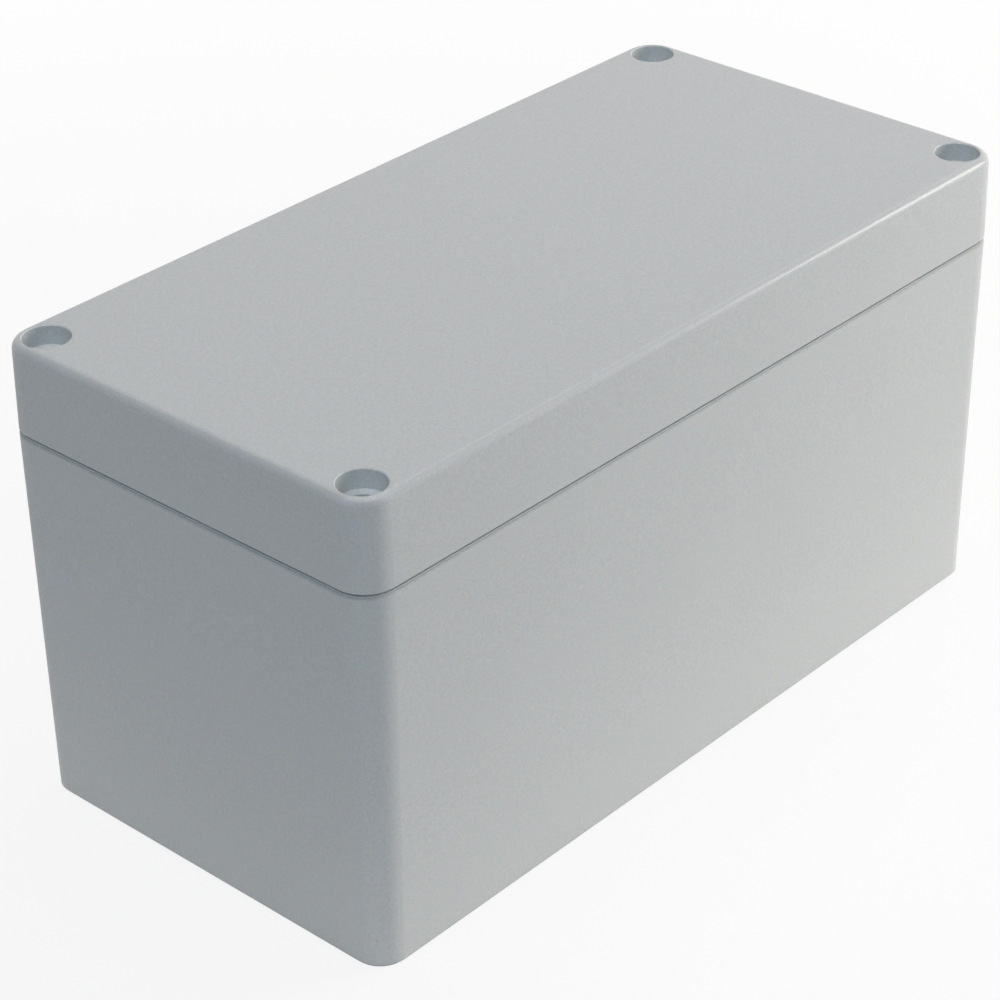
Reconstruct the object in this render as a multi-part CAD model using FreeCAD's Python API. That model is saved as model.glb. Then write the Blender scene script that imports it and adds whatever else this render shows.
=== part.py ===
"""Moulded enclosure: a deep base and a shallow lid, sealed by a gasket and held by four screws.

Millimetres. The origin is the centre of the underside, +X runs along the length,
+Y across the width and +Z up. The case is widest at the parting line and tapers away
from it, up and down, so that both mouldings leave their tools.
"""
import FreeCAD, Part
import math
import os

from FreeCAD import Vector

# Overall sizes
length = 160.0
width = 80.0
height = 85.0
lid_height = 15.6

# Outer form of both mouldings
corner_radius = 5.8
base_draft_deg = 0.6
lid_draft_deg = 0.7
lid_edge_radius = 1.6
lid_lip_bevel = 0.12
foot_edge_bevel = 0.4
neck_inset = 0.35
neck_height = 0.8
shoulder_bevel = 0.25
seam_gap_height = 0.5
seam_gap_depth = 0.6

# Wall thicknesses
side_wall = 3.0
floor_wall = 3.0
roof_wall = 3.0
inner_corner_radius = 3.0
inner_edge_bevel = 1.0

# Seal between base and lid
tongue_wall = 1.4
tongue_height = 2.0
tongue_tip_bevel = 0.3
groove_clearance = 0.2
groove_rib_wall = 1.2
gasket_height = 2.0
gasket_clearance = 0.05

# Lid screws and the wells over them
screw_inset = 5.75
well_radius = 3.92
well_depth = 3.4
well_rim_bevel = 0.15
head_radius = 3.0
head_height = 2.4
head_edge_bevel = 0.3
head_clearance = 0.3
shank_radius = 2.0
shank_length = 14.0
shank_tip_bevel = 0.5
lid_hole_clearance = 0.2
seat_wall = 4.6
recess_width = 0.9
recess_span = 3.4
recess_depth = 1.3

# Threaded inserts in the pillars
insert_radius = 2.8
insert_length = 8.0
insert_recess = 0.4
insert_mouth_bevel = 0.3
insert_hole_clearance = 0.02
thread_clearance = 0.05
insert_hole_spare = 3.0

# Corner pillars with the channels for the wall-fixing screws
pillar_wall = 2.2
pillar_round = 5.0
channel_radius = 3.8
channel_hole_radius = 2.3
channel_spacing = 9.6
channel_inset = 6.4
lid_pocket_wall = 1.2
lid_post_wall = 1.6
lid_corner_wall = 2.2
lid_pocket_round = 1.5

# Bosses on the floor for a circuit board
boss_spacing_x = 100.0
boss_spacing_y = 56.0
boss_radius = 3.4
boss_height = 6.0
pilot_radius = 1.25
pilot_floor = 2.0
gusset_wall = 1.4
gusset_drop = 1.2

# Sizes that follow from the ones above
parting_z = height - lid_height
neck_z = parting_z - neck_height
base_taper = math.tan(math.radians(base_draft_deg))
lid_taper = math.tan(math.radians(lid_draft_deg))
cavity_half_x = length / 2 - side_wall
cavity_half_y = width / 2 - side_wall
channel_x = length / 2 - screw_inset - channel_spacing
channel_y = width / 2 - channel_inset
pillar_x = channel_x - channel_radius - pillar_wall
pillar_y = channel_y - channel_radius - pillar_wall
groove_depth = tongue_height + gasket_height
seat_z = parting_z + seat_wall
bore_radius = head_radius + head_clearance
insert_top_z = parting_z - insert_recess
screw_x = length / 2 - screw_inset
screw_y = width / 2 - screw_inset

CORNERS = ((-1, -1), (1, -1), (1, 1), (-1, 1))
UP = Vector(0, 0, 1)


def rounded_edges(points, radii, z):
    """Closed run of edges round right-angled corners at height z, each rounded to its radius."""
    count = len(points)
    bends = []
    for index in range(count):
        here = Vector(points[index][0], points[index][1], z)
        before = Vector(points[index - 1][0], points[index - 1][1], z)
        after = Vector(points[(index + 1) % count][0], points[(index + 1) % count][1], z)
        back = (before - here).normalize()
        ahead = (after - here).normalize()
        radius = radii[index]
        middle = here + (back + ahead) * (radius * (1 - math.sqrt(0.5)))
        bends.append((here + back * radius, middle, here + ahead * radius))
    edges = []
    for index in range(count):
        start, middle, end = bends[index]
        edges.append(Part.Arc(start, middle, end).toShape())
        edges.append(Part.LineSegment(end, bends[(index + 1) % count][0]).toShape())
    return edges


def case_edges(inset, z):
    """Outline of the case, moved inwards by the inset."""
    half_x = length / 2 - inset
    half_y = width / 2 - inset
    points = [(sx * half_x, sy * half_y) for sx, sy in CORNERS]
    return rounded_edges(points, [corner_radius - inset] * 4, z)


def seal_edges(outset, z):
    """Outline of the sealed space, which passes inside the four pillars, moved outwards."""
    far_x = cavity_half_x + outset
    far_y = cavity_half_y + outset
    near_x = pillar_x + outset
    near_y = pillar_y + outset
    outer = inner_corner_radius + outset
    inner = pillar_round - outset
    points = []
    radii = []
    for sx, sy in CORNERS:
        bend = [(sx * far_x, sy * near_y), (sx * near_x, sy * near_y), (sx * near_x, sy * far_y)]
        if sx * sy > 0:
            points += bend
        else:
            points += bend[::-1]
        radii += [outer, inner, outer]
    return rounded_edges(points, radii, z)


def flat_face(edges):
    """Level face inside a closed run of edges."""
    return Part.Face(Part.Wire(edges))


def tapered_solid(low, high):
    """Solid between two like runs of edges: planes between their lines, cones between their arcs."""
    return Part.makeLoft([Part.Wire(low), Part.Wire(high)], True, True)


def upright_solid(edges, rise):
    """Solid that rises straight up from a closed run of edges."""
    return flat_face(edges).extrude(UP * rise)


def edges_at(shape, z):
    """Edges that lie at one height."""
    found = []
    for edge in shape.Edges:
        box = edge.BoundBox
        if abs(box.ZMin - z) < 1e-4 and abs(box.ZMax - z) < 1e-4:
            found.append(edge)
    return found


def rounded_at(shape, radius, z):
    """The shape with its edges at one height rounded."""
    return shape.makeFillet(radius, edges_at(shape, z))


def bevelled_at(shape, size, z):
    """The shape with its edges at one height bevelled."""
    return shape.makeChamfer(size, edges_at(shape, z))


def upright(radius, low_z, high_z, x, y):
    """Upright cylinder between two heights."""
    return Part.makeCylinder(radius, high_z - low_z, Vector(x, y, low_z))


def turned(profile, x, y):
    """Solid made by turning a closed profile of (radius, z) points about an upright axis."""
    points = [Vector(radius, 0, z) for radius, z in profile]
    face = Part.Face(Part.makePolygon(points + points[:1]))
    return face.revolve(Vector(0, 0, 0), UP, 360).translate(Vector(x, y, 0))


def base_outside():
    """Base block: drafted wall, bevelled shoulder, and a stepped neck that leaves a gap under the lid."""
    wall = tapered_solid(case_edges(parting_z * base_taper, 0), case_edges(neck_height * base_taper, neck_z))
    wall = bevelled_at(wall, foot_edge_bevel, 0)
    wall = bevelled_at(wall, shoulder_bevel, neck_z)
    neck_foot_z = neck_z - shoulder_bevel
    gap_z = parting_z - seam_gap_height
    neck = upright_solid(case_edges(neck_inset, neck_foot_z), gap_z - neck_foot_z)
    land = upright_solid(case_edges(neck_inset + seam_gap_depth, gap_z), seam_gap_height)
    return wall.fuse(neck).fuse(land)


def base_cavity():
    """Sealed space of the base, open at the top and narrower towards its floor."""
    depth = parting_z - floor_wall
    space = tapered_solid(seal_edges(-depth * base_taper, floor_wall), seal_edges(0, parting_z))
    space = bevelled_at(space, inner_edge_bevel, floor_wall)
    return space.fuse(upright_solid(seal_edges(0, parting_z), tongue_height))


def seal_tongue():
    """Rim that presses on the gasket, with a bevelled tip."""
    low_z = parting_z - tongue_tip_bevel
    tongue = upright_solid(seal_edges(tongue_wall, low_z), tongue_height + tongue_tip_bevel)
    return bevelled_at(tongue, tongue_tip_bevel, parting_z + tongue_height)


def board_boss(x, y):
    """Floor boss for a board, with a sloped gusset out to the long wall."""
    side = math.copysign(1, y)
    foot_z = floor_wall / 2
    top_z = floor_wall + boss_height
    boss = upright(boss_radius, foot_z, top_z, x, y)
    wall_y = side * (cavity_half_y + side_wall / 2)
    slope = [
        Vector(x - gusset_wall / 2, y, foot_z),
        Vector(x - gusset_wall / 2, wall_y, foot_z),
        Vector(x - gusset_wall / 2, wall_y, top_z - 2 * gusset_drop),
        Vector(x - gusset_wall / 2, y, top_z - gusset_drop),
    ]
    gusset = Part.Face(Part.makePolygon(slope + slope[:1])).extrude(Vector(gusset_wall, 0, 0))
    return boss.fuse(gusset)


def base_shape():
    """Base moulding."""
    outside = base_outside().fuse(seal_tongue())
    shape = outside.cut(base_cavity())
    bosses = []
    holes = []
    for sx, sy in CORNERS:
        boss_x = sx * boss_spacing_x / 2
        boss_y = sy * boss_spacing_y / 2
        bosses.append(board_boss(boss_x, boss_y))
        holes.append(upright(pilot_radius, pilot_floor, floor_wall + boss_height, boss_x, boss_y))
        holes.append(upright(channel_radius, floor_wall, parting_z, sx * channel_x, sy * channel_y))
        holes.append(upright(channel_hole_radius, 0, floor_wall, sx * channel_x, sy * channel_y))
        hole_radius = insert_radius + insert_hole_clearance
        hole_foot_z = insert_top_z - insert_length - insert_hole_spare
        holes.append(upright(hole_radius, hole_foot_z, parting_z, sx * screw_x, sy * screw_y))
    return shape.fuse(bosses).cut(holes).removeSplitter()


def well_tool(x, y):
    """Screw well: bevelled rim, wide recess, 45 degree step, bore to the head's seat, shank hole."""
    step = well_radius - bore_radius
    shank_hole = shank_radius + lid_hole_clearance
    return turned([
        (0, parting_z - well_depth),
        (shank_hole, parting_z - well_depth),
        (shank_hole, seat_z),
        (bore_radius, seat_z),
        (bore_radius, height - well_depth - step),
        (well_radius, height - well_depth),
        (well_radius, height - well_rim_bevel),
        (well_radius + well_rim_bevel + well_depth, height + well_depth),
        (0, height + well_depth),
    ], x, y)


def lid_pocket(sx, sy):
    """Pocket in the corner of the lid that leaves room for the head of a wall-fixing screw."""
    groove_edge = tongue_wall + groove_clearance + lid_pocket_wall
    near_x = pillar_x + groove_edge
    near_y = pillar_y + groove_edge
    far_x = screw_x - bore_radius - lid_post_wall
    far_y = width / 2 - lid_corner_wall
    points = [(near_x, near_y), (far_x, near_y), (far_x, far_y), (near_x, far_y)]
    points = [(sx * x, sy * y) for x, y in points]
    return upright_solid(rounded_edges(points, [lid_pocket_round] * 4, parting_z), lid_height - roof_wall)


def lid_shape():
    """Lid moulding."""
    block = tapered_solid(case_edges(0, parting_z), case_edges(lid_height * lid_taper, height))
    block = rounded_at(block, lid_edge_radius, height)
    block = bevelled_at(block, lid_lip_bevel, parting_z)
    rib_edge = -groove_clearance - groove_rib_wall
    roof_z = height - roof_wall
    roof_edge = rib_edge - (roof_z - parting_z) * lid_taper
    space = tapered_solid(seal_edges(rib_edge, parting_z), seal_edges(roof_edge, roof_z))
    space = bevelled_at(space, inner_edge_bevel, roof_z)
    groove = upright_solid(seal_edges(tongue_wall + groove_clearance, parting_z), groove_depth)
    groove = groove.cut(upright_solid(seal_edges(-groove_clearance, parting_z), groove_depth))
    shape = block.cut(space).cut(groove)
    for sx, sy in CORNERS:
        shape = shape.cut(lid_pocket(sx, sy))
        shape = shape.cut(well_tool(sx * screw_x, sy * screw_y))
    return shape.removeSplitter()


def gasket_shape():
    """Endless gasket between the tip of the tongue and the roof of the groove."""
    low_z = parting_z + tongue_height
    ring = upright_solid(seal_edges(tongue_wall + groove_clearance - gasket_clearance, low_z), gasket_height)
    return ring.cut(upright_solid(seal_edges(gasket_clearance - groove_clearance, low_z), gasket_height))


def screw_shape(x, y):
    """Lid screw: bevelled cheese head with a cross recess, plain shank with a bevelled tip."""
    top_z = seat_z + head_height
    tip_z = seat_z - shank_length
    head = bevelled_at(upright(head_radius, seat_z, top_z, x, y), head_edge_bevel, top_z)
    shank = turned([
        (0, tip_z),
        (shank_radius - shank_tip_bevel, tip_z),
        (shank_radius, tip_z + shank_tip_bevel),
        (shank_radius, seat_z),
        (0, seat_z),
    ], x, y)
    screw = head.fuse(shank)
    for span_x, span_y in ((recess_span, recess_width), (recess_width, recess_span)):
        corner = Vector(x - span_x / 2, y - span_y / 2, top_z - recess_depth)
        screw = screw.cut(Part.makeBox(span_x, span_y, recess_depth, corner))
    return screw.removeSplitter()


def insert_shape(x, y):
    """Brass insert: a sleeve with a bevelled mouth."""
    foot_z = insert_top_z - insert_length
    bore = shank_radius + thread_clearance
    return turned([
        (bore, foot_z),
        (insert_radius, foot_z),
        (insert_radius, insert_top_z),
        (bore + insert_mouth_bevel, insert_top_z),
        (bore, insert_top_z - insert_mouth_bevel),
    ], x, y)


def main():
    os.makedirs("parts", exist_ok=True)
    nodes = {"base": base_shape(), "lid": lid_shape(), "gasket": gasket_shape()}
    for number, (sx, sy) in enumerate(CORNERS, 1):
        nodes[f"lid_screw_{number}"] = screw_shape(sx * screw_x, sy * screw_y)
        nodes[f"insert_{number}"] = insert_shape(sx * screw_x, sy * screw_y)
    for name, shape in nodes.items():
        shape.exportStep(f"parts/{name}.step")
        print(name, len(shape.Solids), shape.isValid(), round(shape.Volume, 2))


main()
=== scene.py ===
import math

import bmesh
import bpy
import numpy as np
from bpy.props import FloatProperty, FloatVectorProperty, IntProperty, PointerProperty
from bpy.types import Operator, Panel, PropertyGroup
from mathutils import Matrix, Vector


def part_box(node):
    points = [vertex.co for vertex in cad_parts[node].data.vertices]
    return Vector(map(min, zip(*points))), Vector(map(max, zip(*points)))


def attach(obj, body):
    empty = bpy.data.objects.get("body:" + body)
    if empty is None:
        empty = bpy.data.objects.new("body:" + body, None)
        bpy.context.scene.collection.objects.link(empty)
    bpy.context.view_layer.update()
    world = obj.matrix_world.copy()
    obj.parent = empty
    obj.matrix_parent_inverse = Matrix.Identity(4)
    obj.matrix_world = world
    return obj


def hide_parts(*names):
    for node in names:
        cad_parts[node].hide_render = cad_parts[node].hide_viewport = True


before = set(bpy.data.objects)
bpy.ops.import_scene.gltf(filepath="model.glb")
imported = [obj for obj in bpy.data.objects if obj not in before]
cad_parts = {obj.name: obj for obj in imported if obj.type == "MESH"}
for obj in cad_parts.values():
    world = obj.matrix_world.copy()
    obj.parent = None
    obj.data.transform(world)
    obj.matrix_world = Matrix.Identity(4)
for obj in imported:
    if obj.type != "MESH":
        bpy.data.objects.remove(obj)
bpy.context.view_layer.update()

bl_info = {
    "name": "Moulded enclosure finish",
    "version": (1, 0, 0),
    "blender": (4, 5, 0),
    "location": "3D View > Sidebar > Enclosure",
    "description": "Finishes, fasteners, gasket and studio of a moulded electronics enclosure",
    "category": "Object",
}

MM = 0.001
CORNERS = {1: (-1, -1), 2: (1, -1), 3: (1, 1), 4: (-1, 1)}

# Places and sizes that come from the frame
SCREW_LOW, SCREW_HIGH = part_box("lid_screw_3")
INSERT_LOW, INSERT_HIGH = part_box("insert_3")
GASKET_LOW, GASKET_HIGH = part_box("gasket")
HEAD_RADIUS = (SCREW_HIGH.x - SCREW_LOW.x) / 2
INSERT_RADIUS = (INSERT_HIGH.x - INSERT_LOW.x) / 2
SCREW_X = (SCREW_HIGH.x + SCREW_LOW.x) / 2
SCREW_Y = (SCREW_HIGH.y + SCREW_LOW.y) / 2
LID_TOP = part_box("lid")[1].z

# Zones of the moulded finish and of the painted light in the wells, each from one end to the other:
# the wall of a well by its distance from the screw's axis, and the foot and the head of the lid's
# rounded edge by their heights
WELL_WALL = (3.9 * MM, 4.1 * MM)
EDGE_FOOT = (LID_TOP - 1.7 * MM, LID_TOP - 1.3 * MM)
EDGE_HEAD = (LID_TOP - 0.15 * MM, LID_TOP - 0.03 * MM)


class FinishSettings(PropertyGroup):
    """Colours and surface detail of the four materials."""
    moulding_colour: FloatVectorProperty(
        name="Moulding colour", description="Light grey of the base and the lid",
        subtype="COLOR", size=3, min=0.0, max=1.0, default=(0.500, 0.533, 0.540))
    moulding_roughness: FloatProperty(
        name="Moulding roughness", description="Roughness of the flat, matte faces",
        subtype="FACTOR", min=0.0, max=1.0, default=0.52)
    polished_roughness: FloatProperty(
        name="Polished roughness",
        description="Roughness of the lid's rounded upper edge and of the screw wells",
        subtype="FACTOR", min=0.0, max=1.0, default=0.2)
    # Painted light: the plastic's colour inside the screw wells is multiplied by this, so that the
    # wells look paler as if lit
    painted_well_light: FloatProperty(
        name="Well lift", description="How much paler the plastic looks inside the screw wells",
        min=0.5, max=2.0, default=1.38)
    grain_size: FloatProperty(
        name="Grain size", description="Width of one grain of the moulded texture",
        unit="LENGTH", precision=6, default=0.32 * MM)
    grain_depth: FloatProperty(
        name="Grain depth", description="Depth of the moulded texture",
        unit="LENGTH", precision=6, default=0.003 * MM)
    gasket_colour: FloatVectorProperty(
        name="Gasket colour", description="Dark cellular rubber",
        subtype="COLOR", size=3, min=0.0, max=1.0, default=(0.035, 0.036, 0.038))
    steel_colour: FloatVectorProperty(
        name="Screw colour", description="Plain stainless steel",
        subtype="COLOR", size=3, min=0.0, max=1.0, default=(0.56, 0.55, 0.53))
    brass_colour: FloatVectorProperty(
        name="Insert colour", description="Turned brass",
        subtype="COLOR", size=3, min=0.0, max=1.0, default=(0.68, 0.46, 0.19))


class FastenerSettings(PropertyGroup):
    """Forms of the lid screws and of the inserts that they run into."""
    pitch: FloatProperty(
        name="Thread pitch", description="Rise of the thread in one turn",
        unit="LENGTH", precision=6, default=0.7 * MM)
    thread_depth: FloatProperty(
        name="Thread depth", description="Height of the thread from root to crest",
        unit="LENGTH", precision=6, default=0.4 * MM)
    shank_radius: FloatProperty(
        name="Shank radius", description="Radius of the screw over its thread",
        unit="LENGTH", precision=6, default=2.0 * MM)
    thread_gap: FloatProperty(
        name="Thread gap", description="Clearance between the screw's thread and the insert's",
        unit="LENGTH", precision=6, default=0.05 * MM)
    head_height: FloatProperty(
        name="Head height", description="Height of the screw's head over its seat",
        unit="LENGTH", precision=6, default=2.4 * MM)
    head_edge: FloatProperty(
        name="Head edge", description="Rounding of the head's upper edge",
        unit="LENGTH", precision=6, default=0.3 * MM)
    plain_neck: FloatProperty(
        name="Plain neck", description="Length under the head that has no thread",
        unit="LENGTH", precision=6, default=1.2 * MM)
    tip_bevel: FloatProperty(
        name="Tip bevel", description="Height of the bevel at the screw's tip",
        unit="LENGTH", precision=6, default=0.5 * MM)
    recess_span: FloatProperty(
        name="Recess span", description="Width of the cross recess from tip to tip",
        unit="LENGTH", precision=6, default=3.4 * MM)
    recess_width: FloatProperty(
        name="Recess width", description="Width of one arm of the cross recess",
        unit="LENGTH", precision=6, default=0.9 * MM)
    recess_depth: FloatProperty(
        name="Recess depth", description="Depth of the cross recess",
        unit="LENGTH", precision=6, default=1.3 * MM)
    knurl_count: IntProperty(
        name="Knurl count", description="Grooves round each gripping band of the insert",
        min=8, max=60, default=24)
    knurl_depth: FloatProperty(
        name="Knurl depth", description="Depth of the grooves on the insert",
        unit="LENGTH", precision=6, default=0.2 * MM)
    waist_width: FloatProperty(
        name="Waist width", description="Width of the groove between the insert's two bands",
        unit="LENGTH", precision=6, default=1.4 * MM)
    waist_depth: FloatProperty(
        name="Waist depth", description="Depth of the groove between the insert's two bands",
        unit="LENGTH", precision=6, default=0.4 * MM)
    mouth_bevel: FloatProperty(
        name="Mouth bevel", description="Width of the bevel at both mouths of the insert",
        unit="LENGTH", precision=6, default=0.3 * MM)


class GasketSettings(PropertyGroup):
    """Section and route of the gasket."""
    width: FloatProperty(
        name="Gasket width", description="Width of the gasket's section",
        unit="LENGTH", precision=6, default=1.7 * MM)
    notch_length: FloatProperty(
        name="Notch length", description="How far the gasket steps in along the length at a pillar",
        unit="LENGTH", precision=6, default=18.35 * MM)
    notch_width: FloatProperty(
        name="Notch width", description="How far the gasket steps in across the width at a pillar",
        unit="LENGTH", precision=6, default=9.4 * MM)
    outer_bend: FloatProperty(
        name="Outer bend", description="Radius of the gasket's middle line at its outer corners",
        unit="LENGTH", precision=6, default=3.7 * MM)
    inner_bend: FloatProperty(
        name="Inner bend", description="Radius of the gasket's middle line round a pillar",
        unit="LENGTH", precision=6, default=4.3 * MM)


class StudioSettings(PropertyGroup):
    """Camera, floor and light."""
    azimuth: FloatProperty(
        name="Camera azimuth", description="Turn of the view about the upright axis",
        subtype="ANGLE", default=math.radians(-47.65))
    elevation: FloatProperty(
        name="Camera elevation", description="Height of the view above the horizon",
        subtype="ANGLE", default=math.radians(30.872))
    roll: FloatProperty(
        name="Camera roll", description="Tilt of the view about its own axis",
        subtype="ANGLE", default=math.radians(-0.874))
    position: FloatVectorProperty(
        name="Camera position", description="Place of the camera in the enclosure's frame",
        subtype="TRANSLATION", unit="LENGTH", size=3, default=(-0.340271, -0.303374, 0.307554))
    focal_length: FloatProperty(
        name="Focal length", description="Focal length in millimetres on a 36 mm wide sensor",
        default=110.41)
    floor_radius: FloatProperty(
        name="Floor radius", description="Reach of the pale floor round the enclosure",
        unit="LENGTH", default=3.0)
    ambient: FloatProperty(
        name="Ambient light", description="Level of the light that comes from all round",
        min=0.0, default=0.01)


def ring_grid(radii, heights, angles):
    """Points and quads of stacked closed rings about the Z axis.

    Ring i has the point (r cos a, r sin a, z) at each angle a, with r = radii[i, a] and
    z = heights[i]. Each quad joins two neighbours of one ring to the same two of the next.
    """
    rows, columns = radii.shape
    levels = np.broadcast_to(np.asarray(heights)[:, None], radii.shape)
    points = np.stack([radii * np.cos(angles), radii * np.sin(angles), levels], axis=-1)
    row, column = np.meshgrid(np.arange(rows - 1) * columns, np.arange(columns), indexing="ij")
    after = (column + 1) % columns
    quads = np.stack([
        row + column, row + after, row + columns + after, row + columns + column,
    ], axis=-1)
    return points.reshape(-1, 3), quads.reshape(-1, 4)


# A thread: its grid's rows in one pitch, and the height of its ridge at places along one pitch
THREAD_ROWS = 8
RIDGE_AT = (0.0, 0.125, 0.45, 0.575, 0.9, 1.0)
RIDGE_HEIGHT = (0.0, 0.0, 1.0, 1.0, 0.0, 0.0)


def thread_grid(plain, ridge, low, high, pitch, angles, inward=False):
    """Points and quads of a threaded wall between two heights.

    Row i climbs with the helix: z = start + pitch (i / rows + a / 2 pi), held between low and
    high. The radius is plain + (ridge - plain) h(i), where h runs from 0 over a flat crest back
    to 0 in one pitch, or 1 - h for a thread that points inwards, and it fades to plain within
    half a pitch of either end. The last point of a row meets the first point of the row that
    lies one pitch above it.
    """
    turns = math.ceil((high - low) / pitch) + 2
    row = np.arange(-THREAD_ROWS, turns * THREAD_ROWS + 1)
    start = math.floor(low / pitch) * pitch
    level = start + pitch * (row[:, None] / THREAD_ROWS + angles[None, :] / (2 * math.pi))
    held = np.clip(level, low, high)
    height = np.interp(row % THREAD_ROWS / THREAD_ROWS, RIDGE_AT, RIDGE_HEIGHT)
    height = 1 - height if inward else height
    fade = np.clip(np.minimum(held - low, high - held) / (pitch / 2), 0, 1)
    radius = plain + (ridge - plain) * height[:, None] * fade
    points = np.stack([radius * np.cos(angles), radius * np.sin(angles), held], axis=-1)
    columns = len(angles)
    bands = len(row) - 1 - THREAD_ROWS
    first, column = np.meshgrid(np.arange(bands), np.arange(columns), indexing="ij")
    after = (column + 1) % columns
    beside = first + THREAD_ROWS * (after == 0)
    quads = np.stack([
        first * columns + column, beside * columns + after,
        (beside + 1) * columns + after, (first + 1) * columns + column,
    ], axis=-1)
    return points.reshape(-1, 3), quads.reshape(-1, 4)


def joined(grids):
    """Points and quads of several grids as one pair of arrays."""
    points, quads = zip(*grids)
    starts = np.cumsum([0] + [len(part) for part in points])
    moved = [part + start for part, start in zip(quads, starts)]
    return np.concatenate(points), np.concatenate(moved)


# Points nearer than this are one point, and edges shorter than this are none
MERGE_DISTANCE = 0.0002 * MM
SHORTEST_EDGE = 0.0001 * MM


def closed_piece(name, points, quads, sharp_angle):
    """Object made from a closed grid.

    Points that lie together are merged, the faces point outwards, and only edges sharper than
    the given angle stay sharp.
    """
    mesh = bpy.data.meshes.new(name)
    mesh.from_pydata(points.tolist(), [], quads.tolist())
    shell = bmesh.new()
    shell.from_mesh(mesh)
    bmesh.ops.remove_doubles(shell, verts=shell.verts, dist=MERGE_DISTANCE)
    bmesh.ops.dissolve_degenerate(shell, edges=shell.edges, dist=SHORTEST_EDGE)
    bmesh.ops.recalc_face_normals(shell, faces=shell.faces)
    open_edges = [edge for edge in shell.edges if len(edge.link_faces) != 2]
    if open_edges:
        raise RuntimeError(f"{name} has {len(open_edges)} open edges")
    shell.to_mesh(mesh)
    shell.free()
    mesh.polygons.foreach_set("use_smooth", np.ones(len(mesh.polygons), bool))
    mesh.set_sharp_from_angle(angle=sharp_angle)
    piece = bpy.data.objects.new(name, mesh)
    bpy.context.scene.collection.objects.link(piece)
    return piece


def mark_turning(piece, axis_x, axis_y):
    """Attribute for turned metal: distance from the piece's own axis, then height."""
    mesh = piece.data
    points = np.empty(len(mesh.vertices) * 3, np.float32)
    mesh.vertices.foreach_get("co", points)
    points = points.reshape(-1, 3)
    turning = np.zeros_like(points)
    turning[:, 0] = np.hypot(points[:, 0] - axis_x, points[:, 1] - axis_y)
    turning[:, 1] = points[:, 2]
    marks = mesh.attributes.new("turning", "FLOAT_VECTOR", "POINT")
    marks.data.foreach_set("vector", turning.ravel())


def cross_outline(angles, span, width):
    """Distance from the middle to the edge of a cross at each angle.

    Each arm is a rectangle, left at the nearer of half span / |cos a| and half width / |sin a|,
    and the cross reaches as far as the farther of its two arms.
    """
    never_zero = 1e-9
    across = np.abs(np.cos(angles)) + never_zero
    along = np.abs(np.sin(angles)) + never_zero
    lying = np.minimum(span / 2 / across, width / 2 / along)
    standing = np.minimum(span / 2 / along, width / 2 / across)
    return np.maximum(lying, standing)


# A screw: steps in the four parts of a quarter turn, the recess from its floor to its mouth as
# shares of its reach and of its depth, rows of the head's rounded edge, and the bevel under it
RECESS_STEPS = (2, 5, 5, 2)
RECESS_PROFILE = ((0.0, 1.0), (0.62, 1.0), (0.78, 0.9), (0.96, 0.05), (1.0, 0.0))
HEAD_EDGE_ROWS = 6
HEAD_FOOT_BEVEL = 0.1 * MM


def recess_angles(form):
    """Angles round a screw, with one at each corner of its cross recess.

    A quarter turn is split at the corners of the arms and at its middle, in equal steps each.
    """
    tip = math.atan2(form.recess_width, form.recess_span)
    stops = (0.0, tip, math.pi / 4, math.pi / 2 - tip, math.pi / 2)
    spans = [np.linspace(low, high, count + 1)[:-1]
             for low, high, count in zip(stops, stops[1:], RECESS_STEPS)]
    quarter = np.concatenate(spans)
    return np.concatenate([quarter + turn * math.pi / 2 for turn in range(4)])


def screw_grid(form):
    """One screw about the Z axis, from the floor of its recess over the head to the tip.

    The recess is a stack of crosses that widen to its mouth, the head's edge is a quarter circle,
    and the thread is a helix between the plain neck and the bevelled tip.
    """
    angles = recess_angles(form)
    around = np.ones_like(angles)
    top = SCREW_HIGH.z
    seat = top - form.head_height
    tip = SCREW_LOW.z
    crest = form.shank_radius
    root = crest - form.thread_depth
    cross = cross_outline(angles, form.recess_span, form.recess_width)
    radii = [cross * share for share, depth in RECESS_PROFILE]
    heights = [top - depth * form.recess_depth for share, depth in RECESS_PROFILE]
    edge = form.head_edge
    for turn in np.linspace(0, math.pi / 2, HEAD_EDGE_ROWS):
        radii.append(around * (HEAD_RADIUS - edge + edge * math.sin(turn)))
        heights.append(top - edge + edge * math.cos(turn))
    bevel = HEAD_FOOT_BEVEL
    neck_foot = seat - form.plain_neck
    radii += [around * HEAD_RADIUS, around * (HEAD_RADIUS - bevel), around * root, around * root]
    heights += [seat + bevel, seat, seat, neck_foot]
    head = ring_grid(np.array(radii), heights, angles)
    thread_foot = tip + form.tip_bevel
    thread = thread_grid(root, crest, thread_foot, neck_foot, form.pitch, angles)
    tip_radii = np.array([around * root, around * (root - form.tip_bevel / 2), around * 0])
    end = ring_grid(tip_radii, [thread_foot, tip, tip], angles)
    return joined([head, thread, end])


# An insert: points across one groove of its knurl, rows up each of its two bands, and their bevel
GROOVE_POINTS = 4
BAND_ROWS = 9
BAND_BEVEL = 0.25 * MM


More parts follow.
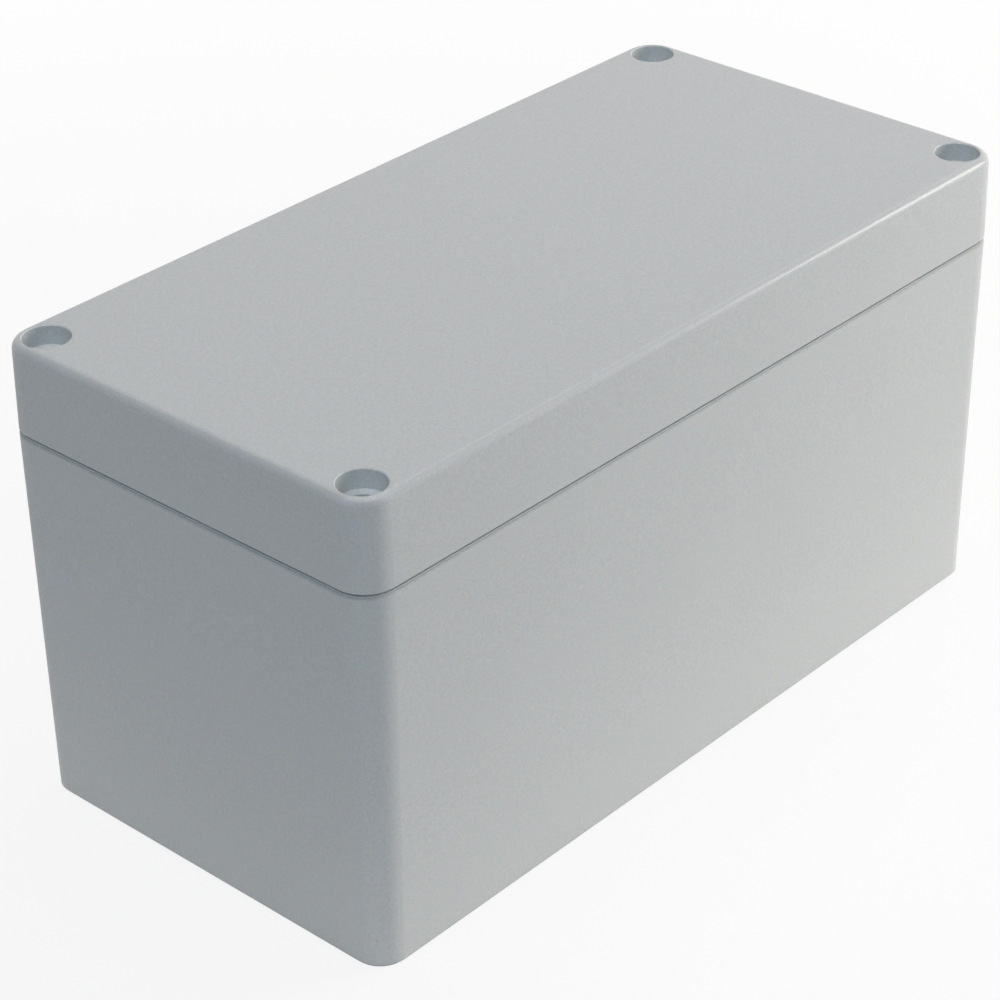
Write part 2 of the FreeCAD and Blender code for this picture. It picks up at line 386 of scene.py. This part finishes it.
def insert_grid(form):
    """One insert about the Z axis: two knurled bands, a waist between them and a threaded bore.

    A band's radius dips by the knurl's depth times a triangle wave of the angle, and each row of
    the band turns by one point of a groove, so the grooves slant one way below and the other
    way above the waist.
    """
    columns = form.knurl_count * GROOVE_POINTS
    angles = np.arange(columns) / columns * 2 * math.pi
    around = np.ones_like(angles)
    low, high = INSERT_LOW.z, INSERT_HIGH.z
    middle = (low + high) / 2
    half_waist = form.waist_width / 2
    half_groove = GROOVE_POINTS / 2
    radii = []
    heights = []
    for foot, head, hand in ((low, middle - half_waist, 1), (middle + half_waist, high, -1)):
        for row in range(BAND_ROWS):
            share = row / (BAND_ROWS - 1)
            groove_place = (np.arange(columns) + hand * row) % GROOVE_POINTS
            depth = form.knurl_depth * np.abs(groove_place - half_groove) / half_groove
            if row in (0, BAND_ROWS - 1):
                depth = around * BAND_BEVEL
            radii.append(INSERT_RADIUS - depth)
            heights.append(foot + share * (head - foot))
        if hand > 0:
            radii += [around * (INSERT_RADIUS - form.waist_depth)] * 2
            heights += [middle - half_waist + BAND_BEVEL, middle + half_waist - BAND_BEVEL]
    minor = form.shank_radius + form.thread_gap - form.thread_depth
    major = form.shank_radius + form.thread_gap
    mouth = form.mouth_bevel
    radii += [around * (major + mouth), around * major]
    heights += [high, high - mouth]
    outside = ring_grid(np.array(radii), heights, angles)
    bore = thread_grid(major, minor, low + mouth, high - mouth, form.pitch, angles, inward=True)
    foot_radii = np.array([around * major, around * (major + mouth), radii[0]])
    foot = ring_grid(foot_radii, [low + mouth, low, low], angles)
    return joined([outside, bore, foot])


def rounded_route(corners, radii, samples):
    """Closed route round right-angled corners in the XY plane.

    A corner is a quarter circle about corner + r (back + ahead), where back and ahead are the
    unit steps to its neighbours, and between two arcs the route is straight, in equal steps.
    """
    back = np.roll(corners, 1, axis=0) - corners
    ahead = np.roll(corners, -1, axis=0) - corners
    back /= np.linalg.norm(back, axis=1)[:, None]
    ahead /= np.linalg.norm(ahead, axis=1)[:, None]
    reach = radii[:, None, None]
    centres = (corners + radii[:, None] * (back + ahead))[:, None]
    turn = np.linspace(0, math.pi / 2, samples)[None, :, None]
    arcs = centres - reach * (ahead[:, None] * np.cos(turn) + back[:, None] * np.sin(turn))
    share = np.linspace(0, 1, samples + 1)[None, 1:-1, None]
    starts = arcs[:, -1:]
    ends = np.roll(arcs[:, :1], -1, axis=0)
    return np.concatenate([arcs, starts + (ends - starts) * share], axis=1).reshape(-1, 2)


def gasket_corners(form):
    """Corners of the gasket's middle line, which steps inwards at each of the four pillars."""
    far_x = GASKET_HIGH.x - form.width / 2
    far_y = GASKET_HIGH.y - form.width / 2
    near_x = far_x - form.notch_length
    near_y = far_y - form.notch_width
    corners = []
    for sx, sy in CORNERS.values():
        bend = [(sx * far_x, sy * near_y), (sx * near_x, sy * near_y), (sx * near_x, sy * far_y)]
        corners += bend if sx * sy > 0 else bend[::-1]
    return np.array(corners)


# The gasket: points along each bend of its route, points round its section, and the powers of
# the section's superellipse across it, in its upper half and in its lower half
BEND_POINTS = 10
SECTION_POINTS = 28
ACROSS_POWER = 0.45
UPPER_POWER = 0.35
LOWER_POWER = 0.8


def gasket_grid(form):
    """The gasket's section carried along its route.

    The section is a superellipse, across = w / 2 |cos t|^q and up = h / 2 |sin t|^p, with p
    small above, where it fills the groove, and larger below, where it crowns to a bead.
    """
    radii = np.tile([form.outer_bend, form.inner_bend, form.outer_bend], 4)
    route = rounded_route(gasket_corners(form), radii, BEND_POINTS)
    ahead = np.roll(route, -1, axis=0) - np.roll(route, 1, axis=0)
    ahead /= np.linalg.norm(ahead, axis=1)[:, None]
    outward = np.stack([ahead[:, 1], -ahead[:, 0]], axis=-1)
    turn = np.linspace(0, 2 * math.pi, SECTION_POINTS, endpoint=False)
    power = np.where(np.sin(turn) > 0, UPPER_POWER, LOWER_POWER)
    across = form.width / 2 * np.sign(np.cos(turn)) * np.abs(np.cos(turn)) ** ACROSS_POWER
    up = (GASKET_HIGH.z - GASKET_LOW.z) / 2 * np.sign(np.sin(turn)) * np.abs(np.sin(turn)) ** power
    level = (GASKET_HIGH.z + GASKET_LOW.z) / 2 + up
    flat = route[:, None] + outward[:, None] * across[None, :, None]
    steps, sides = flat.shape[:2]
    levels = np.broadcast_to(level[None, :, None], (steps, sides, 1))
    points = np.concatenate([flat, levels], axis=-1)
    step, side = np.meshgrid(np.arange(steps), np.arange(sides), indexing="ij")
    next_step = (step + 1) % steps
    next_side = (side + 1) % sides
    quads = np.stack([
        step * sides + side, next_step * sides + side,
        next_step * sides + next_side, step * sides + next_side,
    ], axis=-1)
    return points.reshape(-1, 3), quads.reshape(-1, 4)


def add_node(tree, kind, inputs=None, **settings):
    """Shader node with its settings, and each named input linked to a socket or set to a value."""
    made = tree.nodes.new(kind)
    for name, value in settings.items():
        setattr(made, name, value)
    for name, value in (inputs or {}).items():
        if isinstance(value, bpy.types.NodeSocket):
            tree.links.new(value, made.inputs[name])
        else:
            made.inputs[name].default_value = value
    return made


def vector_math(tree, operation, *values):
    """Vector Math node with one operation on one to three vectors."""
    return add_node(tree, "ShaderNodeVectorMath", dict(enumerate(values)), operation=operation)


def noise(tree, place, size, detail=2.0):
    """Noise whose lumps are about the given size in metres: a level, and a colour."""
    return add_node(tree, "ShaderNodeTexNoise", {
        "Vector": place, "Scale": 1 / size, "Detail": detail,
    }).outputs


WHOLE = (0.0, 1.0)
NOISE_REACH = (0.25, 0.75)


def ramp(tree, value, zone, low, high, **settings):
    """A level that goes from low to high while a value crosses a zone."""
    return add_node(tree, "ShaderNodeMapRange", {
        "Value": value, "From Min": zone[0], "From Max": zone[1], "To Min": low, "To Max": high,
    }, **settings).outputs[0]


def spread(tree, value, low, high):
    """Noise spread between two levels: most of it lies in the middle half of 0 to 1."""
    return ramp(tree, value, NOISE_REACH, low, high)


def tinted(tree, colour, brightness):
    """A colour made lighter or darker by a socket."""
    return add_node(tree, "ShaderNodeHueSaturation", {
        "Value": brightness, "Color": (*colour, 1.0),
    }).outputs[0]


def cleared_tree(owner):
    """The node tree of a new material or world, with nothing in it."""
    owner.use_nodes = True
    owner.node_tree.nodes.clear()
    return owner.node_tree


def new_material(name, surface_inputs):
    """Material whose surface takes its inputs from the function surface_inputs(tree)."""
    made = bpy.data.materials.new(name)
    tree = cleared_tree(made)
    surface = add_node(tree, "ShaderNodeBsdfPrincipled", surface_inputs(tree))
    add_node(tree, "ShaderNodeOutputMaterial", {"Surface": surface.outputs[0]})
    return made


# The moulded plastic: width of its faint clouds and how far they shift roughness and brightness,
# how far the grain shifts brightness, width and strength of its coloured mottle, and its IOR
CLOUD_SIZE = 22 * MM
CLOUD_ROUGHNESS = 0.02
CLOUD_LIFT = 0.01
GRAIN_LIFT = 0.09
MOTTLE_SIZE = 0.6 * MM
MOTTLE_STRENGTH = 0.2
PLASTIC_IOR = 1.585


def moulded_plastic(finish):
    """Light grey polycarbonate: matte faces, a smooth upper edge and polished wells, made paler by
    painted light.

    A well is what lies within a distance of a screw's axis. Absolute coordinates fold the four
    corners into one, so that one axis does for all four.
    """

    def inputs(tree):
        place = add_node(tree, "ShaderNodeTexCoord").outputs["Object"]
        height = add_node(tree, "ShaderNodeSeparateXYZ", {0: place}).outputs["Z"]
        folded = vector_math(tree, "ABSOLUTE", place).outputs[0]
        off_axis = vector_math(tree, "SUBTRACT", folded, (SCREW_X, SCREW_Y, 0.0)).outputs[0]
        level = vector_math(tree, "MULTIPLY", off_axis, (1.0, 1.0, 0.0)).outputs[0]
        radius = vector_math(tree, "LENGTH", level).outputs["Value"]
        outside = ramp(tree, radius, WELL_WALL, 0.0, 1.0, interpolation_type="SMOOTHSTEP")
        grain = noise(tree, place, finish.grain_size, detail=3.0)[0]
        clouding = noise(tree, place, CLOUD_SIZE)[0]

        matte = spread(tree, clouding, finish.moulding_roughness - CLOUD_ROUGHNESS,
                       finish.moulding_roughness + CLOUD_ROUGHNESS)
        over_foot = ramp(tree, height, EDGE_FOOT, matte, finish.polished_roughness)
        up_to_top = ramp(tree, height, EDGE_HEAD, over_foot, matte)
        roughness = ramp(tree, outside, WHOLE, finish.polished_roughness, up_to_top)

        cloud_lift = spread(tree, clouding, 1 - CLOUD_LIFT, 1 + CLOUD_LIFT)
        grain_lift = spread(tree, grain, 1 - GRAIN_LIFT, 1 + GRAIN_LIFT)
        # Painted light: inside the wells the colour is multiplied by the painted well light,
        # elsewhere by the faint clouds
        cloud_tone_and_well_light = ramp(tree, outside, WHOLE, finish.painted_well_light, cloud_lift)
        brightness = add_node(tree, "ShaderNodeMath", {0: cloud_tone_and_well_light, 1: grain_lift},
                              operation="MULTIPLY").outputs[0]
        hues = noise(tree, place, MOTTLE_SIZE)["Color"]
        mottle = vector_math(tree, "MULTIPLY_ADD", hues, (MOTTLE_STRENGTH,) * 3,
                             (1 - MOTTLE_STRENGTH / 2,) * 3).outputs[0]
        plain = tinted(tree, finish.moulding_colour, brightness)
        colour = vector_math(tree, "MULTIPLY", plain, mottle).outputs[0]

        bump = add_node(tree, "ShaderNodeBump", {
            "Strength": outside, "Distance": finish.grain_depth, "Height": grain,
        }).outputs[0]
        return {"Base Color": colour, "Roughness": roughness, "Normal": bump, "IOR": PLASTIC_IOR}

    return new_material("moulded_polycarbonate", inputs)


# The gasket's rubber: width and depth of its cells, width of the patches of its skin, and its IOR
CELL_SIZE = 0.35 * MM
CELL_DEPTH = 0.03 * MM
SKIN_SIZE = 1.5 * MM
RUBBER_IOR = 1.5


def cellular_rubber(finish):
    """Matte dark rubber with a fine cellular skin."""

    def inputs(tree):
        place = add_node(tree, "ShaderNodeTexCoord").outputs["Object"]
        cells = add_node(tree, "ShaderNodeTexVoronoi", {
            "Vector": place, "Scale": 1 / CELL_SIZE,
        }).outputs[0]
        skin = noise(tree, place, SKIN_SIZE, detail=3.0)[0]
        bump = add_node(tree, "ShaderNodeBump", {
            "Strength": 0.7, "Distance": CELL_DEPTH, "Height": cells,
        }).outputs[0]
        return {"Base Color": tinted(tree, finish.gasket_colour, spread(tree, skin, 0.8, 1.25)),
                "Roughness": spread(tree, skin, 0.78, 0.95), "Normal": bump, "IOR": RUBBER_IOR}

    return new_material("cellular_rubber", inputs)


# Turned metal: width of its stains, and depth of the rings that turning leaves
STAIN_SIZE = 1.2 * MM
RING_DEPTH = 0.006 * MM


def turned_metal(name, colour, roughness, ring_width):
    """Metal with the fine rings that turning leaves, read from the piece's turning attribute."""

    def inputs(tree):
        turning = add_node(tree, "ShaderNodeAttribute", attribute_name="turning").outputs["Vector"]
        place = add_node(tree, "ShaderNodeTexCoord").outputs["Object"]
        rings = noise(tree, turning, ring_width, detail=3.0)[0]
        stains = noise(tree, place, STAIN_SIZE, detail=3.0)[0]
        bump = add_node(tree, "ShaderNodeBump", {
            "Strength": 0.6, "Distance": RING_DEPTH, "Height": rings,
        }).outputs[0]
        return {"Base Color": tinted(tree, colour, spread(tree, stains, 0.88, 1.06)),
                "Roughness": spread(tree, rings, roughness - 0.08, roughness + 0.1),
                "Metallic": 1.0, "Normal": bump}

    return new_material(name, inputs)


class OBJECT_OT_enclosure_mouldings(Operator):
    """Give the base and the lid their moulded finish"""
    bl_idname = "object.enclosure_mouldings"
    bl_label = "Finish the mouldings"

    def execute(self, context):
        plastic = moulded_plastic(context.scene.enclosure_finish)
        for name in ("base", "lid"):
            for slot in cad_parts[name].material_slots:
                slot.material = plastic
        return {"FINISHED"}


class OBJECT_OT_enclosure_gasket(Operator):
    """Carry the gasket's beaded section round the groove of the lid"""
    bl_idname = "object.enclosure_gasket"
    bl_label = "Make the gasket"

    def execute(self, context):
        points, quads = gasket_grid(context.scene.enclosure_gasket)
        piece = closed_piece("gasket_bead", points, quads, sharp_angle=math.radians(50))
        piece.data.materials.append(cellular_rubber(context.scene.enclosure_finish))
        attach(piece, "lid_body")
        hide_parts("gasket")
        return {"FINISHED"}


class OBJECT_OT_enclosure_screws(Operator):
    """Make the four threaded lid screws"""
    bl_idname = "object.enclosure_screws"
    bl_label = "Make the lid screws"

    def execute(self, context):
        colour = context.scene.enclosure_finish.steel_colour
        steel = turned_metal("turned_steel", colour, roughness=0.3, ring_width=0.12 * MM)
        points, quads = screw_grid(context.scene.enclosure_fasteners)
        for number, (sx, sy) in CORNERS.items():
            axis = np.array([sx * SCREW_X, sy * SCREW_Y, 0.0])
            piece = closed_piece(f"lid_screw_{number}_threaded", points + axis, quads,
                                 sharp_angle=math.radians(40))
            mark_turning(piece, axis[0], axis[1])
            piece.data.materials.append(steel)
            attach(piece, f"screw_body_{number}")
            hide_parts(f"lid_screw_{number}")
        return {"FINISHED"}


class OBJECT_OT_enclosure_inserts(Operator):
    """Make the four knurled and threaded inserts"""
    bl_idname = "object.enclosure_inserts"
    bl_label = "Make the inserts"

    def execute(self, context):
        colour = context.scene.enclosure_finish.brass_colour
        brass = turned_metal("turned_brass", colour, roughness=0.28, ring_width=0.15 * MM)
        points, quads = insert_grid(context.scene.enclosure_fasteners)
        for number, (sx, sy) in CORNERS.items():
            axis = np.array([sx * SCREW_X, sy * SCREW_Y, 0.0])
            piece = closed_piece(f"insert_{number}_knurled", points + axis, quads,
                                 sharp_angle=math.radians(30))
            mark_turning(piece, axis[0], axis[1])
            piece.data.materials.append(brass)
            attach(piece, "base_body")
            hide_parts(f"insert_{number}")
        return {"FINISHED"}


# Tints of the lamps, and the two points that they face
DAYLIGHT = (0.75, 0.87, 1.0)
SKYLIGHT = (1.0, 0.96, 0.98)
WARM = (1.0, 0.93, 0.87)
AMBER = (1.0, 0.89, 0.77)
BODY_MIDDLE = (0.0, 0.0, 0.05)
SKY = (0.0, 0.0, 1.0)

# Lamps of the studio: place, width and height, the point it faces, power in watts, tint, and
# whether the plastic mirrors it. The edge strip gives the long upper edge its bright line, and
# the light table lies on the floor and glows upwards.
SOFT_BOXES = {
    "front_box": ((-1.07, -0.98, 0.88), (0.30, 0.30), BODY_MIDDLE, 5.00, DAYLIGHT, False),
    "edge_strip": ((0.53, -0.34, 0.31), (0.14, 0.24), BODY_MIDDLE, 0.55, WARM, True),
    "edge_box": ((0.50, -0.32, 0.29), (0.25, 0.24), BODY_MIDDLE, 0.50, WARM, False),
    "right_low_box": ((0.52, -0.32, 0.12), (0.30, 0.20), BODY_MIDDLE, 2.00, WARM, False),
    "right_high_box": ((0.45, 0.05, 0.60), (0.40, 0.40), BODY_MIDDLE, 0.88, WARM, False),
    "back_box": ((0.50, 0.75, 0.55), (1.40, 0.90), BODY_MIDDLE, 1.20, AMBER, True),
    "over_box": ((0.00, 0.00, 0.85), (0.70, 0.70), BODY_MIDDLE, 3.00, SKYLIGHT, True),
    "left_high_box": ((-0.55, 0.05, 0.65), (0.50, 0.50), BODY_MIDDLE, 0.50, DAYLIGHT, True),
    "light_table": ((0.0, 0.0, 0.0005), (0.24, 0.16), SKY, 0.04, AMBER, False),
}


def add_soft_box(name, place, size, aim, power, tint, mirrored):
    """Rectangular area lamp that faces a point and isn't seen by the camera."""
    data = bpy.data.lights.new(name, "AREA")
    data.shape = "RECTANGLE"
    data.size, data.size_y = size
    data.energy = power
    data.color = tint
    lamp = bpy.data.objects.new(name, data)
    lamp.location = place
    lamp.rotation_euler = (Vector(place) - Vector(aim)).to_track_quat("Z", "Y").to_euler()
    lamp.visible_camera = False
    lamp.visible_glossy = mirrored
    bpy.context.scene.collection.objects.link(lamp)


# The camera's sensor in millimetres, and the distances in metres between which it sees
SENSOR_WIDTH = 36.0
CLIP_RANGE = (0.01, 50.0)


def add_camera(studio):
    """Camera at the photograph's place: it looks against back, and roll turns right and up."""
    turn, rise, roll = studio.azimuth, studio.elevation, studio.roll
    back = Vector((
        math.sin(turn) * math.cos(rise), -math.cos(turn) * math.cos(rise), math.sin(rise)))
    right = (-back).cross(Vector((0, 0, 1))).normalized()
    up = right.cross(-back)
    rolled_right = right * math.cos(roll) + up * math.sin(roll)
    rolled_up = up * math.cos(roll) - right * math.sin(roll)
    axes = (rolled_right, rolled_up, back)
    data = bpy.data.cameras.new("photo_camera")
    data.sensor_fit = "HORIZONTAL"
    data.sensor_width = SENSOR_WIDTH
    data.lens = studio.focal_length
    data.clip_start, data.clip_end = CLIP_RANGE
    camera = bpy.data.objects.new("photo_camera", data)
    camera.matrix_world = Matrix.Translation(studio.position) @ Matrix(axes).transposed().to_4x4()
    bpy.context.scene.collection.objects.link(camera)
    bpy.context.scene.camera = camera


def seen_directly(tree):
    """1 for rays from the camera and for mirrored or refracted ones, 0 for all others."""
    path = add_node(tree, "ShaderNodeLightPath")
    seen = path.outputs["Is Camera Ray"]
    for name in ("Is Glossy Ray", "Is Transmission Ray"):
        seen = add_node(tree, "ShaderNodeMath", {0: seen, 1: path.outputs[name]},
                        operation="MAXIMUM").outputs[0]
    return seen


# The floor: points round its rim, its colour where it takes light, its share of plain white
# under the enclosure, and the distances between which that share rises to one
FLOOR_POINTS = 96
FLOOR_COLOUR = (0.9, 0.9, 0.9, 1.0)
WHITE = (1.0, 1.0, 1.0, 1.0)
WHITE_SHARE = 0.85
SHADOW_FADE = (0.1, 0.45)


def floor_material():
    """White floor: it keeps the enclosure's soft shadow and turns to plain white further out."""
    made = bpy.data.materials.new("studio_floor")
    tree = cleared_tree(made)
    place = add_node(tree, "ShaderNodeTexCoord").outputs["Object"]
    distance = vector_math(tree, "LENGTH", place).outputs["Value"]
    plain = ramp(tree, distance, SHADOW_FADE, WHITE_SHARE, 1.0, interpolation_type="SMOOTHSTEP")
    share = add_node(tree, "ShaderNodeMath", {0: plain, 1: seen_directly(tree)},
                     operation="MULTIPLY").outputs[0]
    matte = add_node(tree, "ShaderNodeBsdfDiffuse", {"Color": FLOOR_COLOUR}).outputs[0]
    white = add_node(tree, "ShaderNodeEmission", {"Color": WHITE, "Strength": 1.0}).outputs[0]
    mixed = add_node(tree, "ShaderNodeMixShader", {0: share, 1: matte, 2: white}).outputs[0]
    add_node(tree, "ShaderNodeOutputMaterial", {"Surface": mixed})
    return made


def add_floor(studio):
    """Round floor at the level on which the enclosure stands."""
    angles = np.linspace(0, 2 * math.pi, FLOOR_POINTS, endpoint=False)
    radii = np.array([angles * 0 + studio.floor_radius, angles * 0])
    points, quads = ring_grid(radii, [0.0, 0.0], angles)
    mesh = bpy.data.meshes.new("studio_floor")
    mesh.from_pydata(points.tolist(), [], quads.tolist())
    mesh.materials.append(floor_material())
    floor = bpy.data.objects.new("studio_floor", mesh)
    bpy.context.scene.collection.objects.link(floor)


def add_world(studio):
    """World that is white where it is seen or mirrored, and a faint, even light elsewhere."""
    world = bpy.data.worlds.new("studio_world")
    tree = cleared_tree(world)
    strength = ramp(tree, seen_directly(tree), WHOLE, studio.ambient, 1.0)
    sky = add_node(tree, "ShaderNodeBackground", {"Color": WHITE, "Strength": strength})
    add_node(tree, "ShaderNodeOutputWorld", {"Surface": sky.outputs[0]})
    bpy.context.scene.world = world


class OBJECT_OT_enclosure_studio(Operator):
    """Set up the camera, the pale floor and the soft light"""
    bl_idname = "object.enclosure_studio"
    bl_label = "Set up the studio"

    def execute(self, context):
        studio = context.scene.enclosure_studio
        add_camera(studio)
        add_floor(studio)
        add_world(studio)
        for name, facts in SOFT_BOXES.items():
            add_soft_box(name, *facts)
        context.scene.view_settings.view_transform = "Standard"
        return {"FINISHED"}


class VIEW3D_PT_enclosure(Panel):
    """Settings and operators of the enclosure"""
    bl_idname = "VIEW3D_PT_enclosure"
    bl_label = "Moulded enclosure"
    bl_space_type = "VIEW_3D"
    bl_region_type = "UI"
    bl_category = "Enclosure"

    def draw(self, context):
        for operator in OPERATORS:
            self.layout.operator(operator.bl_idname)
        for group in SETTINGS:
            box = self.layout.box()
            settings = getattr(context.scene, group)
            for name in settings.bl_rna.properties.keys():
                if name not in ("rna_type", "name"):
                    box.prop(settings, name)


OPERATORS = (
    OBJECT_OT_enclosure_studio,
    OBJECT_OT_enclosure_mouldings,
    OBJECT_OT_enclosure_gasket,
    OBJECT_OT_enclosure_screws,
    OBJECT_OT_enclosure_inserts,
)
SETTINGS = {
    "enclosure_finish": FinishSettings,
    "enclosure_fasteners": FastenerSettings,
    "enclosure_gasket": GasketSettings,
    "enclosure_studio": StudioSettings,
}
CLASSES = (*SETTINGS.values(), *OPERATORS, VIEW3D_PT_enclosure)


def register():
    """Registers the classes and hangs the settings on the scene."""
    for cls in CLASSES:
        bpy.utils.register_class(cls)
    for name, group in SETTINGS.items():
        setattr(bpy.types.Scene, name, PointerProperty(type=group))


def unregister():
    """Takes back what register did."""
    for name in SETTINGS:
        delattr(bpy.types.Scene, name)
    for cls in reversed(CLASSES):
        bpy.utils.unregister_class(cls)


def main():
    """Registers the add-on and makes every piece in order."""
    register()
    bpy.ops.object.enclosure_studio()
    bpy.ops.object.enclosure_mouldings()
    bpy.ops.object.enclosure_gasket()
    bpy.ops.object.enclosure_screws()
    bpy.ops.object.enclosure_inserts()


if __name__ == "__main__":
    main()
